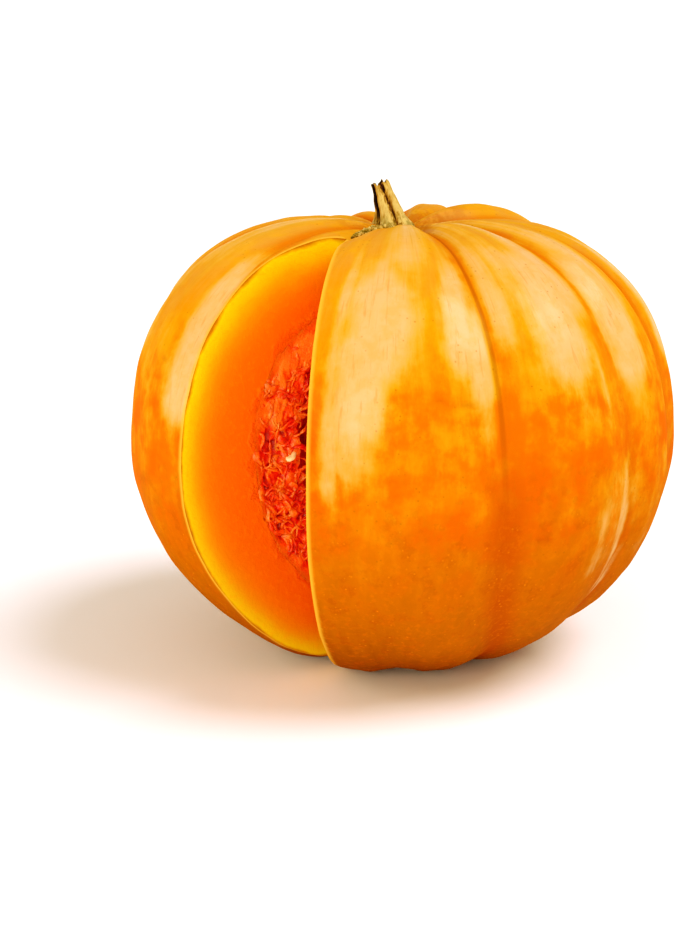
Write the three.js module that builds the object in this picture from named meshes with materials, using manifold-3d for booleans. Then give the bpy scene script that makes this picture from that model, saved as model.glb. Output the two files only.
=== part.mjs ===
// A large ribbed pumpkin with one wedge cut out of it, from the stem end down to the blossom end.
// Millimetres, +Z up. The origin lies on the surface that the fruit rests on, under its stem axis.
// Azimuths are in degrees: 0 is the -Y side, and they grow towards +X.

import * as THREE from 'three';
import { mergeVertices } from 'three/addons/utils/BufferGeometryUtils.js';
import Module from 'manifold-3d';

const wasm = await Module();
wasm.setup();

// ---------------------------------------------------------------- driving dimensions

// The gap left between pieces that touch
const GAP = 0.3;

// The fruit's outside: a round body that is squarer at the shoulders than at the bottom.
// The level where it is widest stands this far above the resting surface, a little less than
// the body reaches down, so that the lowest lobes end in small flats.
const WIDEST_LEVEL = 102.4;
const FRUIT_RADIUS = 131;
const UPPER_HALF = {
  height: 117,
  squareness: 2.42,
  dimples: [{ depth: 9.8, spread: 56 }, { depth: 5, spread: 22 }],
};
const LOWER_HALF = {
  height: 116,
  squareness: 1.85,
  dimples: [{ depth: 14, spread: 42 }],
};

// The furrows around it. Depth is a share of the fruit's radius. Shoulder says how much higher
// or lower than the rest the next lobe's crest stands near the stem, as a share of the height.
const FURROWS = [
  { azimuth: -14, depth: 0.018, shoulder: 0 },
  { azimuth: 21.5, depth: 0.042, shoulder: 0 },
  { azimuth: 49.5, depth: 0.036, shoulder: 0 },
  { azimuth: 77, depth: 0.036, shoulder: -0.02 },
  { azimuth: 98, depth: 0.04, shoulder: -0.03 },
  { azimuth: 119, depth: 0.05, shoulder: 0.02 },
  { azimuth: 157, depth: 0.05, shoulder: 0 },
  { azimuth: 186, depth: 0.045, shoulder: -0.04 },
  { azimuth: 211, depth: 0.065, shoulder: -0.06 },
  { azimuth: 240, depth: 0.042, shoulder: -0.03 },
  { azimuth: 271, depth: 0.04, shoulder: 0 },
  { azimuth: 312, depth: 0.036, shoulder: -0.064 },
];
// How wide a furrow's bottom is rounded, as a share of a lobe
const FURROW_SHARPNESS = 0.12;
// A furrow's depth at the widest level, and what it gains towards the stem and the blossom end
const FURROW_AT_WIDEST = 0.9;
const FURROW_AT_POLES = 0.9;
// How far a furrow lowers the skin there, and the radius inside which the lobes run together
const FURROW_SINK = 1.1;
const POLE_FADE = 12;

// The wedge taken out: two upright cuts that meet in an upright corner beside the stem
const NOTCH = { cornerX: -24.8, cornerY: -37.7, leftAzimuth: -58.3, rightAzimuth: -9.55, reach: 220 };

// The seed cavity inside the flesh, and the open hollow inside the pulp that lines it
const CAVITY = { level: WIDEST_LEVEL + 10, radius: 89.5, up: 68, down: 84, squareness: 2.4 };
const HOLLOW = { level: WIDEST_LEVEL + 10, radius: 68, up: 50, down: 58, squareness: 2.4 };

// The stem: a ridged, tapering stub on a flared foot, rooted in the stem dimple and leaning to -X.
// Its profile lists radius and height above the dimple's floor.
const STEM = {
  footX: -3.9,
  topX: -10.6,
  floor: WIDEST_LEVEL + 102.6,
  profile: [[6.6, -6], [8.2, -2], [9, 1], [6.8, 5], [5.4, 12], [4.4, 18], [3.9, 21.5]],
  ridges: 5,
  ridgeShare: 0.14,
};

// The one long toe of the stem's foot, which lies on the skin as far as the notch's corner
const TOE = {
  azimuth: -33,
  middleRadius: 25,
  level: WIDEST_LEVEL + 100.6,
  length: 34,
  width: 4.4,
  height: 4,
};

// The seeds: flat and oval, with one narrow end. They sit in upright rows on the pulp.
const SEED = { length: 17, width: 9, thickness: 3, tipTaper: 0.3, sink: 1.5, lean: 35, rollStep: 70 };
const SEED_ROWS = [25, 65, 100, 132, 165, 198, 290];
const SEED_LEVELS = [-25, 0, 25];

// One more seed stands out of the pulp where the left cut goes through it
const CUT_SEED = { alongCut: 29.3, level: WIDEST_LEVEL + 5.8, standsOut: 2.5, lean: 20 };

// Mesh steps. The columns of a shaped ball come in multiples of four.
const COLUMNS_PER_LOBE = 8;
const SKIN_RINGS = 25;
const CAVITY_COLUMNS = 36;
const CAVITY_RINGS = 15;
const HOLLOW_COLUMNS = 32;
const HOLLOW_RINGS = 12;
const STEM_SIDES = 40;
const STEM_STEPS = 10;
const SEED_COLUMNS = 10;
const SEED_RINGS = 6;
const TOE_COLUMNS = 10;
const TOE_RINGS = 10;

const material = (color, roughness) => new THREE.MeshStandardMaterial({ color, roughness, metalness: 0 });
const fruitMaterial = material(0xef8a1c, 0.4);
const pulpMaterial = material(0xd8450c, 0.5);
const stemMaterial = material(0xb79c62, 0.8);
const seedMaterial = material(0xead9a6, 0.5);

// ---------------------------------------------------------------- shared steps

// A point at a distance from the stem axis, along an azimuth and at a level
function polarPoint(azimuth, radius, level) {
  const angle = THREE.MathUtils.degToRad(azimuth);
  return new THREE.Vector3(radius * Math.sin(angle), -radius * Math.cos(angle), level);
}

// A closed ball of the given columns and rings, whose vertices go where place says
function shapedBall(columns, rings, place) {
  const ball = new THREE.SphereGeometry(1, columns, rings).rotateX(Math.PI / 2);
  const position = ball.getAttribute('position');
  const direction = new THREE.Vector3();
  for (let index = 0; index < position.count; index += 1) {
    direction.fromBufferAttribute(position, index).normalize();
    const turn = Math.atan2(direction.x, -direction.y) / (2 * Math.PI);
    const column = (Math.round(turn * columns) + columns) % columns;
    const latitude = Math.asin(THREE.MathUtils.clamp(direction.z, -1, 1));
    const point = place(column, latitude);
    position.setXYZ(index, point.x, point.y, point.z);
  }
  return ball;
}

// The radius and height of a rounded, squared-off profile at a latitude
function squaredProfile(radius, height, squareness, latitude) {
  return {
    radius: radius * Math.max(0, Math.cos(latitude)) ** (2 / squareness),
    height: height * Math.abs(Math.sin(latitude)) ** (2 / squareness),
  };
}

function toSolid(geometry) {
  const bare = geometry.clone();
  bare.deleteAttribute('normal');
  bare.deleteAttribute('uv');
  const merged = mergeVertices(bare);
  return new wasm.Manifold(new wasm.Mesh({
    numProp: 3,
    vertProperties: merged.getAttribute('position').array,
    triVerts: new Uint32Array(merged.getIndex().array),
  }));
}

function toMesh(name, solid, surface) {
  const { vertProperties, triVerts } = solid.getMesh();
  const geometry = new THREE.BufferGeometry();
  geometry.setAttribute('position', new THREE.BufferAttribute(vertProperties, 3));
  geometry.setIndex(new THREE.BufferAttribute(triVerts, 1));
  geometry.computeVertexNormals();
  const mesh = new THREE.Mesh(geometry, surface);
  mesh.name = name;
  return mesh;
}

// ---------------------------------------------------------------- the fruit's outside

// How far up a lobe is, from 0 in the furrow to 1 on the crest, at a share of its width
function lobeArch(share) {
  const rounded = Math.hypot(Math.sin(Math.PI * share), FURROW_SHARPNESS) - FURROW_SHARPNESS;
  return rounded / (Math.hypot(1, FURROW_SHARPNESS) - FURROW_SHARPNESS);
}

function skinPoint(column, latitude) {
  const lobe = Math.floor(column / COLUMNS_PER_LOBE);
  const share = (column % COLUMNS_PER_LOBE) / COLUMNS_PER_LOBE;
  const furrow = FURROWS[lobe];
  const nextFurrow = FURROWS[(lobe + 1) % FURROWS.length];
  const lobeWidth = (nextFurrow.azimuth - furrow.azimuth + 360) % 360;
  const azimuth = furrow.azimuth + share * lobeWidth;

  const blend = (1 - Math.cos(Math.PI * share)) / 2;
  const depth = THREE.MathUtils.lerp(furrow.depth, nextFurrow.depth, blend);
  const low = depth * (1 - lobeArch(share));

  const half = latitude > 0 ? UPPER_HALF : LOWER_HALF;
  const plain = squaredProfile(FRUIT_RADIUS, half.height, half.squareness, latitude);
  const upness = Math.abs(Math.sin(latitude));
  const radius = plain.radius * (1 - low * (FURROW_AT_WIDEST + FURROW_AT_POLES * upness ** 3));

  const shoulder = latitude > 0 ? furrow.shoulder * Math.sin(Math.PI * share) ** 2 : 0;
  const fade = 1 - Math.exp(-((plain.radius / POLE_FADE) ** 2));
  const height = plain.height * (1 + (shoulder - FURROW_SINK * low) * upness ** 2 * fade);
  let dimple = 0;
  for (const { depth: dimpleDepth, spread } of half.dimples) {
    dimple += dimpleDepth * Math.exp(-((plain.radius / spread) ** 2));
  }
  return polarPoint(azimuth, radius, WIDEST_LEVEL + Math.sign(latitude) * (height - dimple));
}

const skin = toSolid(shapedBall(FURROWS.length * COLUMNS_PER_LOBE, SKIN_RINGS, skinPoint));

// ---------------------------------------------------------------- the spaces inside and the cuts

// The rounded space of a cavity, drawn in by an inset all round
function cavitySolid(cavity, inset, columns, rings) {
  const place = (column, latitude) => {
    const reach = (latitude > 0 ? cavity.up : cavity.down) - inset;
    const profile = squaredProfile(cavity.radius - inset, reach, cavity.squareness, latitude);
    const level = cavity.level + Math.sign(latitude) * profile.height;
    return polarPoint((column / columns) * 360, profile.radius, level);
  };
  return toSolid(shapedBall(columns, rings, place));
}

function notchSolid() {
  const corner = new THREE.Vector2(NOTCH.cornerX, NOTCH.cornerY);
  const left = polarPoint(NOTCH.leftAzimuth, NOTCH.reach, 0);
  const right = polarPoint(NOTCH.rightAzimuth, NOTCH.reach, 0);
  const outline = new THREE.Shape([
    corner,
    new THREE.Vector2(corner.x + left.x, corner.y + left.y),
    new THREE.Vector2(corner.x + right.x, corner.y + right.y),
  ]);
  const wedge = new THREE.ExtrudeGeometry(outline, { depth: 3 * WIDEST_LEVEL, bevelEnabled: false });
  return toSolid(wedge.translate(0, 0, -WIDEST_LEVEL / 2));
}

function groundSolid() {
  const side = 4 * FRUIT_RADIUS;
  return toSolid(new THREE.BoxGeometry(side, side, side).translate(0, 0, -side / 2));
}

const notch = notchSolid();

// ---------------------------------------------------------------- the stem

// The stem with its foot and long toe, grown by a margin all round
function stemSolid(margin) {
  const outline = [];
  for (let side = 0; side < STEM_SIDES; side += 1) {
    const angle = (side / STEM_SIDES) * 2 * Math.PI;
    const ridge = 1 + STEM.ridgeShare * Math.cos(STEM.ridges * angle);
    outline.push(new THREE.Vector2(ridge * Math.cos(angle), ridge * Math.sin(angle)));
  }
  const post = new THREE.ExtrudeGeometry(
    new THREE.Shape(outline),
    { depth: 1, steps: STEM_STEPS, bevelEnabled: false },
  );
  const corners = STEM.profile.map(([radius, height]) => new THREE.Vector2(radius, height));
  const profile = new THREE.SplineCurve(corners);
  const [, topHeight] = STEM.profile.at(-1);
  const position = post.getAttribute('position');
  for (let index = 0; index < position.count; index += 1) {
    const share = position.getZ(index);
    const { x: radius, y: height } = profile.getPoint(share);
    const lean = Math.max(0, height / topHeight);
    const centreX = THREE.MathUtils.lerp(STEM.footX, STEM.topX, lean);
    const spread = radius + margin;
    const endMargin = margin * Math.sign(share - 0.5);
    position.setXYZ(
      index,
      centreX + spread * position.getX(index),
      spread * position.getY(index),
      STEM.floor + height + endMargin,
    );
  }

  const toe = new THREE.SphereGeometry(1, TOE_COLUMNS, TOE_RINGS);
  toe.scale(TOE.width / 2 + margin, TOE.length / 2 + margin, TOE.height / 2 + margin);
  toe.rotateZ(THREE.MathUtils.degToRad(TOE.azimuth));
  const middle = polarPoint(TOE.azimuth, TOE.middleRadius, TOE.level);
  toe.translate(middle.x, middle.y, middle.z);
  return toSolid(post).add(toSolid(toe));
}

// ---------------------------------------------------------------- the seeds

// A seed lying along +Z with its narrow end up, grown by a margin all round
function seedGeometry(margin) {
  const seed = new THREE.SphereGeometry(1, SEED_COLUMNS, SEED_RINGS).rotateX(Math.PI / 2);
  const position = seed.getAttribute('position');
  for (let index = 0; index < position.count; index += 1) {
    const along = position.getZ(index);
    const taper = 1 - SEED.tipTaper * Math.max(0, along);
    position.setX(index, position.getX(index) * taper);
  }
  return seed.scale(SEED.width / 2 + margin, SEED.thickness / 2 + margin, SEED.length / 2 + margin);
}

// Places a seed: its middle, the way its narrow end points, and its roll about its own length
function seedPlacement(middle, pointing, roll) {
  const turn = new THREE.Quaternion().setFromUnitVectors(new THREE.Vector3(0, 0, 1), pointing.normalize());
  const spin = new THREE.Quaternion().setFromAxisAngle(pointing, THREE.MathUtils.degToRad(roll));
  return new THREE.Matrix4().compose(middle, spin.multiply(turn), new THREE.Vector3(1, 1, 1));
}

function rowSeeds() {
  const placements = [];
  for (const azimuth of SEED_ROWS) {
    for (const level of SEED_LEVELS) {
      const reach = level > 0 ? HOLLOW.up : HOLLOW.down;
      const share = (1 - Math.abs(level / reach) ** HOLLOW.squareness) ** (1 / HOLLOW.squareness);
      const middle = polarPoint(azimuth, HOLLOW.radius * share + SEED.sink, HOLLOW.level + level);
      const lean = THREE.MathUtils.degToRad(SEED.lean) * (level < 0 ? -1 : 1);
      const pointing = polarPoint(azimuth, Math.cos(lean), Math.sin(lean));
      placements.push(seedPlacement(middle, pointing, placements.length * SEED.rollStep));
    }
  }
  return placements;
}

// The seed at the left cut points away from the notch, so that its blunt end stands out of the cut
function cutSeed() {
  const outOfCut = polarPoint(NOTCH.leftAzimuth + 90, 1, 0);
  const inwards = outOfCut.clone().negate();
  const onCut = polarPoint(NOTCH.leftAzimuth, CUT_SEED.alongCut, CUT_SEED.level);
  const middle = new THREE.Vector3(NOTCH.cornerX, NOTCH.cornerY, 0).add(onCut);
  middle.addScaledVector(inwards, SEED.length / 2 - CUT_SEED.standsOut);
  const lean = THREE.MathUtils.degToRad(CUT_SEED.lean);
  const pointing = inwards.multiplyScalar(Math.cos(lean)).setZ(Math.sin(lean));
  return seedPlacement(middle, pointing, 0);
}

const seedPlaces = [...rowSeeds(), cutSeed()];
const seedAt = (place, margin) => toSolid(seedGeometry(margin).applyMatrix4(place));

// ---------------------------------------------------------------- the pumpkin

const fruitWall = skin
  .subtract(cavitySolid(CAVITY, 0, CAVITY_COLUMNS, CAVITY_RINGS))
  .subtract(stemSolid(GAP))
  .subtract(notch)
  .subtract(groundSolid());

let pulp = cavitySolid(CAVITY, GAP, CAVITY_COLUMNS, CAVITY_RINGS)
  .subtract(cavitySolid(HOLLOW, 0, HOLLOW_COLUMNS, HOLLOW_RINGS))
  .subtract(notch);
for (const place of seedPlaces) {
  pulp = pulp.subtract(seedAt(place, GAP));
}

const pumpkin = new THREE.Group();
pumpkin.name = 'pumpkin';
pumpkin.add(toMesh('fruit_wall', fruitWall, fruitMaterial));
pumpkin.add(toMesh('pulp', pulp, pulpMaterial));
pumpkin.add(toMesh('stem', stemSolid(0), stemMaterial));
seedPlaces.forEach((place, index) => {
  const number = String(index + 1).padStart(2, '0');
  pumpkin.add(toMesh(`seed_${number}`, seedAt(place, 0), seedMaterial));
});

export default pumpkin;
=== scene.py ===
import math
import random

import bmesh
import bpy
import numpy
from mathutils import Matrix, Vector, noise
from mathutils.bvhtree import BVHTree
from mathutils.kdtree import KDTree


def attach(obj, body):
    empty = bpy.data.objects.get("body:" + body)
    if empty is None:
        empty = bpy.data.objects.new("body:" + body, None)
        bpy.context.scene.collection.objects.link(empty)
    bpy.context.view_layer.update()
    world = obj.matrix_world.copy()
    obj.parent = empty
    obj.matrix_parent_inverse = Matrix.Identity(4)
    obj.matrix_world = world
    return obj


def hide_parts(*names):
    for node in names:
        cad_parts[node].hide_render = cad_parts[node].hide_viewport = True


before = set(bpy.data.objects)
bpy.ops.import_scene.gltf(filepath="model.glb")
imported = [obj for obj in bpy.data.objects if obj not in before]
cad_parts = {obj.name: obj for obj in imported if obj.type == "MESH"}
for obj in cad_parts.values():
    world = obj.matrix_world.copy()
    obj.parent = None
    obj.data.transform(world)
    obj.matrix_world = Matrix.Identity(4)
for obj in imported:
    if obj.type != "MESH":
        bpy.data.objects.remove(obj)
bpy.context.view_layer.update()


# ------------------------ the fruit's wall
# Rind and flesh grew as one thick wall round the seed cavity, in twelve lobes of unequal width.
# Two upright knife cuts, which meet in a corner beside the stem, took one wedge out of it.

WIDEST_LEVEL = 0.1024
FRUIT_RADIUS = 0.131
# Each half has its height, its squareness, and its dimples as depth and spread
UPPER_HALF = (0.117, 2.42, [(0.0098, 0.056), (0.005, 0.022)])
LOWER_HALF = (0.116, 1.85, [(0.014, 0.042)])
# Each furrow has its azimuth, its depth as a share of the radius, how much higher the crest of the
# next lobe stands at its shoulder, and how many degrees its upper end swings aside
FURROWS = [
    (-14, 0.018, 0, 2), (20.8, 0.042, 0, 0), (53.5, 0.036, 0, 2), (76.5, 0.036, -0.02, 0),
    (98, 0.04, -0.03, -3), (119, 0.05, 0.02, -1), (157, 0.05, 0, -6), (186, 0.045, -0.04, -3),
    (211, 0.065, -0.06, -1), (240, 0.042, -0.03, -3), (271, 0.04, 0, 0), (312, 0.036, -0.064, 2),
]
USUAL_FURROW = 0.04    # depth of a middling furrow
FURROW_DEEPENING = 0.9    # how much deeper a furrow grows towards the stem and the foot
FURROW_DIP = 1.1    # how far a furrow lowers the shoulder, for its depth
FURROW_SHARPNESS = (0.14, 0.045)    # low down, and near the stem
SHARPENING = (-0.7, 1.0)    # the latitude where it starts, and the span it takes, in radians
SWING = (0.75, 0.45)    # the latitude where a furrow's upper end swings aside, and the span
FURROW_WINDING = 18.0    # degrees round the fruit for each metre down
FOOT_TURN = 18000.0    # further degrees, for the cube of the depth under the widest level
FOOT_TURN_MOST = 12.0
COLUMN_CROWDING = 0.1    # how far the mesh's columns crowd towards the furrows
SMOOTH_MIDDLE = 0.012    # radius round the axis where the furrows fade out
SWELLINGS = [(0.0007, 28.0), (0.0003, 90.0)]    # their height, and how many to a metre
FLUTE_HEIGHT = 0.0003
FLUTES_TO_A_LOBE = 3
SKIN_SINK = 0.0007    # keeps the swellings inside the CAD box
# Where the skin's pale waxy bloom lies thick, and where painted highlights of the softboxes lie
# on the lobes: azimuth, lowest and highest level, half-width in degrees, and strength
BLOOM_AND_HIGHLIGHT_STROKES = [
    (-5, 0.168, 0.188, 7.6, 1.0), (-8.6, 0.143, 0.166, 5.0, 1.0), (-9.4, 0.124, 0.143, 3.6, 0.65),
    (-13.4, 0.116, 0.19, 2.0, 0.65), (1, 0.203, 0.209, 8.0, 0.6), (13.2, 0.17, 0.188, 3.6, 0.95),
    (16.6, 0.156, 0.172, 2.6, 0.9), (17.4, 0.136, 0.156, 1.8, 0.4), (23.4, 0.178, 0.198, 2.4, 0.7),
    (30, 0.189, 0.2, 4.0, 0.6), (37, 0.163, 0.19, 6.4, 1.0), (43.5, 0.187, 0.205, 5.6, 0.95),
    (39, 0.146, 0.156, 2.8, 0.4), (57.5, 0.157, 0.188, 5.0, 1.0), (61, 0.184, 0.197, 4.0, 0.9),
    (59, 0.07, 0.15, 11.0, 0.15), (48, 0.062, 0.1, 3.6, 0.3), (44.5, 0.07, 0.094, 2.8, 0.42),
    (45, 0.142, 0.155, 1.2, 0.45), (51.6, 0.082, 0.1, 1.5, 0.6), (53.2, 0.06, 0.082, 1.5, 0.73),
    (56, 0.044, 0.062, 1.4, 0.66), (-52, 0.138, 0.184, 4.6, 1.0), (-66, 0.146, 0.176, 4.0, 0.2),
    (-72, 0.2, 0.21, 10.0, 0.6), (-62, 0.12, 0.145, 5.0, 0.15), (84, 0.158, 0.19, 3.4, 0.9),
    (91, 0.165, 0.185, 2.2, 0.6), (106, 0.162, 0.188, 4.4, 1.0), (112, 0.138, 0.158, 2.4, 0.6),
    (132, 0.168, 0.192, 6.0, 1.0), (138, 0.14, 0.162, 3.2, 0.7), (146, 0.166, 0.184, 4.4, 0.5),
    (168, 0.158, 0.19, 5.0, 0.9), (174, 0.128, 0.152, 2.4, 0.55), (196, 0.17, 0.192, 4.6, 1.0),
    (203, 0.144, 0.166, 3.0, 0.7), (221, 0.162, 0.188, 5.4, 1.0), (216, 0.136, 0.15, 2.4, 0.6),
    (231, 0.168, 0.184, 2.6, 0.6), (252, 0.15, 0.19, 5.0, 0.9), (262, 0.156, 0.174, 2.4, 0.5),
    (283, 0.16, 0.185, 5.0, 0.45),
]
STROKE_END = 0.012    # height over which the end of a stroke fades out
# Healed scratches and dents: azimuth, level, half-width in degrees, and half-height
MARKS = [
    (-58.6, 0.1535, 0.35, 0.0016), (-59.8, 0.153, 0.3, 0.0012), (7.5, 0.1482, 1.6, 0.0009),
    (10.5, 0.1474, 1.6, 0.0009), (13, 0.1462, 1.2, 0.0009), (29, 0.086, 1.6, 0.0007),
    (100, 0.12, 1.2, 0.001), (160, 0.13, 0.5, 0.004), (222, 0.11, 1.8, 0.0009), (250, 0.09, 0.6, 0.003),
]
LOBE_COLUMNS = 32
SKIN_RINGS = 150
NOTCH_CORNER = Vector((-0.0248, -0.0377, 0.0))
LEFT_CUT = -58.3
RIGHT_CUT = -9.55
CUT_MARGIN = 0.004    # how far a knife cut is made past the corner
CAVITY = dict(level=WIDEST_LEVEL + 0.01, radius=0.0895, up=0.068, down=0.084, squareness=2.4)
CAVITY_COLUMNS = 120
CAVITY_RINGS = 50
FLESH_ROWS = 26
LAST_ROW = 0.985    # how far the last row of a cut goes towards the inner rim
FRAYED_BAND = 0.01    # width of the flesh that frays into the pulp
CUT_EDGE_BAND = 0.0035    # width of the pale edge that a cut leaves on the skin
DEEPEST_FLESH = 0.05


def heading(azimuth):
    """The level direction of an azimuth in degrees: 0 is -Y, and 90 is +X."""
    angle = math.radians(azimuth)
    return Vector((math.sin(angle), -math.cos(angle), 0.0))


def climb(value, start, span):
    """0 up to start, 1 past the span, and straight between them."""
    return min(1.0, max(0.0, (value - start) / span))


def nearness(distance, reach):
    """1 at a thing, and 0 from its reach on."""
    return max(0.0, 1.0 - distance / reach)


def lobe_arch(share, latitude):
    """How far up a lobe is: 0 in the furrow, 1 on the crest."""
    below, above = FURROW_SHARPNESS
    sharpness = below + (above - below) * climb(latitude, *SHARPENING)
    rounded = math.hypot(math.sin(math.pi * share), sharpness) - sharpness
    return rounded / (math.hypot(1.0, sharpness) - sharpness)


def skin_point(column, latitude):
    """The place of a point of the skin, and how low it lies between two crests."""
    lobe, step = divmod(column, LOBE_COLUMNS)
    share = step / LOBE_COLUMNS
    share -= COLUMN_CROWDING * math.sin(2.0 * math.pi * share)
    azimuth, depth, shoulder, swing = FURROWS[lobe]
    next_azimuth, next_depth, _, next_swing = FURROWS[(lobe + 1) % len(FURROWS)]
    azimuth += share * ((next_azimuth - azimuth) % 360)
    azimuth += (swing + (next_swing - swing) * share) * climb(latitude, *SWING)
    depth += (next_depth - depth) * (1.0 - math.cos(math.pi * share)) / 2.0
    lowness = 1.0 - lobe_arch(share, latitude)

    half_height, squareness, dimples = UPPER_HALF if latitude > 0 else LOWER_HALF
    upness = abs(math.sin(latitude))
    plain_radius = FRUIT_RADIUS * max(0.0, math.cos(latitude)) ** (2.0 / squareness)
    deepening = FURROW_DEEPENING + FURROW_DEEPENING * upness ** 3
    radius = plain_radius * (1.0 - depth * lowness * deepening)
    crest = shoulder * math.sin(math.pi * share) ** 2 if latitude > 0 else 0.0
    fade = 1.0 - math.exp(-((plain_radius / SMOOTH_MIDDLE) ** 2))
    height = half_height * upness ** (2.0 / squareness)
    height *= 1.0 + (crest - FURROW_DIP * depth * lowness) * upness ** 2 * fade
    for dimple_depth, spread in dimples:
        height -= dimple_depth * math.exp(-((plain_radius / spread) ** 2))
    rise = math.copysign(height, latitude)
    azimuth += min(FOOT_TURN * max(0.0, -rise) ** 3, FOOT_TURN_MOST)
    point = heading(azimuth - FURROW_WINDING * rise) * radius
    point.z = WIDEST_LEVEL + rise

    # The slow swellings and the small unevenness of a grown skin
    outwards = (point - Vector((0.0, 0.0, WIDEST_LEVEL))).normalized()
    swelling = sum(size * noise.noise(point * number) for size, number in SWELLINGS)
    flutes = FLUTE_HEIGHT * math.cos(2.0 * FLUTES_TO_A_LOBE * math.pi * share) * (1.0 - lowness)
    point += outwards * (swelling + flutes - SKIN_SINK)
    point.z = max(point.z, 0.0)
    return point, lowness * min(1.0, depth / USUAL_FURROW)


def bloom_and_highlight_at(azimuth, level):
    """How thick the pale bloom and the painted highlights lie at a place of the skin."""
    bloom = 0.0
    for middle, lowest, highest, half_width, strength in BLOOM_AND_HIGHLIGHT_STROKES:
        across = ((azimuth - middle + 180.0) % 360.0 - 180.0) / half_width
        beyond = max(lowest - level, level - highest, 0.0) / STROKE_END
        bloom = max(bloom, strength * math.exp(-0.7 * math.hypot(across, beyond) ** 3))
    return bloom


def mark_at(azimuth, level):
    """1 in the middle of a healed mark of the skin, 0 away from all of them."""
    mark = 0.0
    for middle, height, half_width, half_height in MARKS:
        across = ((azimuth - middle + 180.0) % 360.0 - 180.0) / half_width
        mark = max(mark, math.exp(-(across ** 2) - ((level - height) / half_height) ** 2))
    return mark


def column_and_latitude(vert, columns):
    """Where a vertex of a plain unit ball stands on its grid."""
    turn = math.atan2(vert.co.x, -vert.co.y) / (2.0 * math.pi)
    return round(turn * columns) % columns, math.asin(max(-1.0, min(1.0, vert.co.z)))


def space_point(space, azimuth, latitude):
    """A point on the rounded, squared-off surface of a space inside the fruit."""
    power = 2.0 / space["squareness"]
    reach = space["up"] if latitude > 0 else space["down"]
    point = heading(azimuth) * space["radius"] * max(0.0, math.cos(latitude)) ** power
    point.z = space["level"] + math.copysign(reach * abs(math.sin(latitude)) ** power, latitude)
    return point


def inside_space(space, point):
    """Whether a point lies in a space inside the fruit."""
    reach = space["up"] if point.z > space["level"] else space["down"]
    level_share = math.hypot(point.x, point.y) / space["radius"]
    height_share = abs(point.z - space["level"]) / reach
    return level_share ** space["squareness"] + height_share ** space["squareness"] < 1.0


def add_ball(body, columns, rings, place):
    """Adds a closed ball whose vertices go where place says, and returns its vertices."""
    made = bmesh.ops.create_uvsphere(body, u_segments=columns, v_segments=rings, radius=1.0)
    for vert in made["verts"]:
        column, latitude = column_and_latitude(vert, columns)
        place(vert, column, latitude)
    return made["verts"]


def cut_sides(point):
    """How far a point lies into the notch from the left cut and from the right cut."""
    offset = point - NOTCH_CORNER
    left, right = heading(LEFT_CUT), heading(RIGHT_CUT)
    return (left.x * offset.y - left.y * offset.x, right.y * offset.x - right.x * offset.y)


def cut_out_notch(body):
    """Makes the two knife cuts through a bmesh and takes out what stands between them."""
    for azimuth in (LEFT_CUT, RIGHT_CUT):
        along = heading(azimuth)
        across = Vector((along.y, -along.x, 0.0))
        beyond = [face for face in body.faces
                  if (face.calc_center_median() - NOTCH_CORNER).dot(along) > -CUT_MARGIN]
        touched = set(beyond)
        for face in beyond:
            touched.update(face.edges)
            touched.update(face.verts)
        bmesh.ops.bisect_plane(
            body, geom=list(touched), dist=1e-7, plane_co=NOTCH_CORNER, plane_no=across)
    loose = [face for face in body.faces if min(cut_sides(face.calc_center_median())) > 0.0]
    bmesh.ops.delete(body, geom=loose, context="FACES")


def ray_from_corner(point):
    """The middle of the notch's upright corner, and the way from there to a point."""
    middle = Vector((NOTCH_CORNER.x, NOTCH_CORNER.y, CAVITY["level"]))
    return middle, point - middle


def edge_of_space(space, point):
    """Where the ray from the notch's corner to a point leaves a space, found by halving."""
    middle, ray = ray_from_corner(point)
    halvings = 22
    near, far = 0.0, 1.5
    for _ in range(halvings):
        half = (near + far) / 2.0
        if inside_space(space, middle + ray * half):
            near = half
        else:
            far = half
    return middle + ray * near


def open_rim(body, is_outer):
    """The open edges round the notch on the outer or the inner shell of a bmesh."""
    shell = body.verts.layers.float["shell"]
    return [edge for edge in body.edges
            if edge.is_boundary and (edge.verts[0][shell] < 0.5) == is_outer]


def extruded_rim(body, edges):
    """Extrudes a rim of a bmesh, and returns the new rim's vertices and edges."""
    made = bmesh.ops.extrude_edge_only(body, edges=edges)["geom"]
    new_verts = [item for item in made if isinstance(item, bmesh.types.BMVert)]
    fresh = set(new_verts)
    new_edges = [item for item in made
                 if isinstance(item, bmesh.types.BMEdge) and set(item.verts) <= fresh]
    return new_verts, new_edges


def close_cuts(body, inner_space, rows):
    """Draws the outer rim of the notch in, row by row, as far as the inner shell's rim."""
    rim = open_rim(body, is_outer=True)
    cut_verts = {vert for edge in rim for vert in edge.verts}
    for row in range(rows):
        new_verts, rim = extruded_rim(body, rim)
        step = LAST_ROW / (rows - row * LAST_ROW)
        for vert in new_verts:
            vert.co = vert.co.lerp(edge_of_space(inner_space, vert.co), step)
        cut_verts.update(new_verts)
    bmesh.ops.bridge_loops(body, edges=rim + open_rim(body, is_outer=False))
    return cut_verts


def finished_piece(name, body, *materials):
    """Turns a bmesh into a smooth piece with its materials, at the origin."""
    mesh = bpy.data.meshes.new(name)
    body.to_mesh(mesh)
    body.free()
    mesh.shade_smooth()
    for material in materials:
        mesh.materials.append(material)
    piece = bpy.data.objects.new(name, mesh)
    bpy.context.collection.objects.link(piece)
    return piece


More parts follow.
